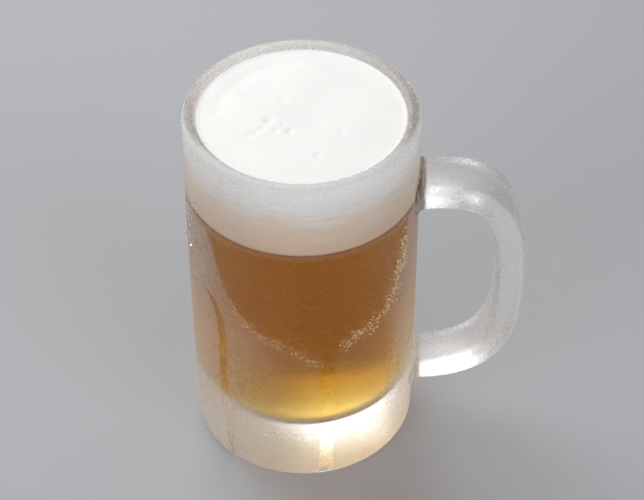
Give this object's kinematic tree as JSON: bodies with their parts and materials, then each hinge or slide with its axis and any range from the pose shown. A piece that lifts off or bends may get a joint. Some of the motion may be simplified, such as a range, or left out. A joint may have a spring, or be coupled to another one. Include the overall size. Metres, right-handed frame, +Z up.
{
  "type": "pint of beer",
  "caption": "Straight beer mug of thick frosted glass with a rounded D handle, filled with golden beer under a deep head of foam.",
  "frame": {"origin": "centre of the glass's flat underside, on the surface it stands on", "axes": "+Z up along the mug's axis, +X out through the middle of the handle, -Y towards the picture's camera"},
  "size_m": [0.1275, 0.0866, 0.15],
  "materials": {
    "frosted_glass": "thick clear glass under a thin film of frost, clear where it has run wet",
    "beer": "clear golden lager",
    "foam": "dense white foam of fine bubbles, beige where it is seen through the wall"
  },
  "bodies": {
    "root": {"glass_mug": "frosted_glass", "beer": "beer", "foam": "foam"}
  },
  "joints": []
}
